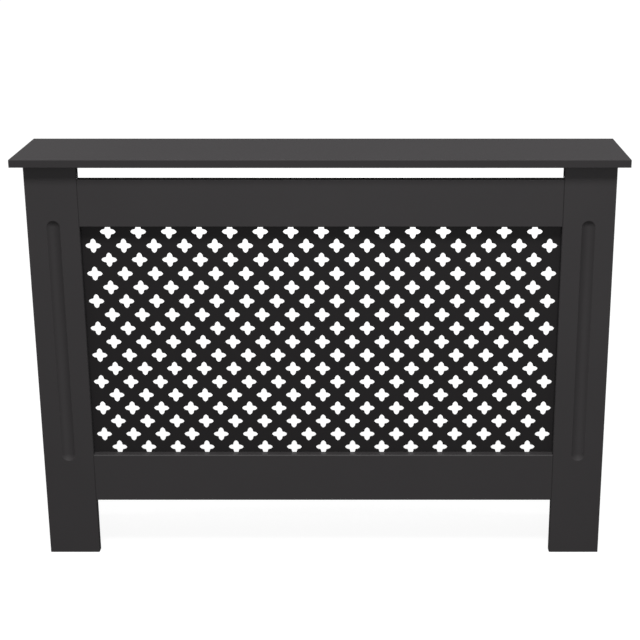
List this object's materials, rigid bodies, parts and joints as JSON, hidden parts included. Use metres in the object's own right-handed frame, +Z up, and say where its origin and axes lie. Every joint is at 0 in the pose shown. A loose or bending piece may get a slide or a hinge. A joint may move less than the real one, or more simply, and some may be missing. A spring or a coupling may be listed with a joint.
{
  "type": "radiator cover cabinet",
  "caption": "Free-standing painted board cover for a wall radiator: a shelf on an open-backed box with fluted stiles and a pierced quatrefoil grille in front.",
  "frame": {"origin": "on the floor, under the middle of the shelf's length and depth", "axes": "+X along the cover to the right as seen from the room, +Y from the room to the wall, +Z up"},
  "size_m": [1.115, 0.19, 0.79],
  "materials": {
    "painted_board": "satin charcoal paint on fibreboard",
    "painted_grille": "satin charcoal paint on thin hardboard",
    "birch_plywood": "bare birch plywood"
  },
  "bodies": {
    "root": {"top_shelf": "painted_board", "left_stile": "painted_board", "right_stile": "painted_board", "top_rail": "painted_board", "bottom_rail": "painted_board", "left_side_panel": "painted_board", "right_side_panel": "painted_board", "back_rail": "painted_board", "grille_panel": "painted_grille", "grille_bead_top": "painted_board", "grille_bead_bottom": "painted_board", "grille_bead_left": "painted_board", "grille_bead_right": "painted_board", "bottom_rail_splines": "birch_plywood", "top_rail_splines": "birch_plywood", "side_splines": "birch_plywood", "stile_top_splines": "birch_plywood", "side_top_splines": "birch_plywood", "back_rail_splines": "birch_plywood"}
  },
  "joints": []
}
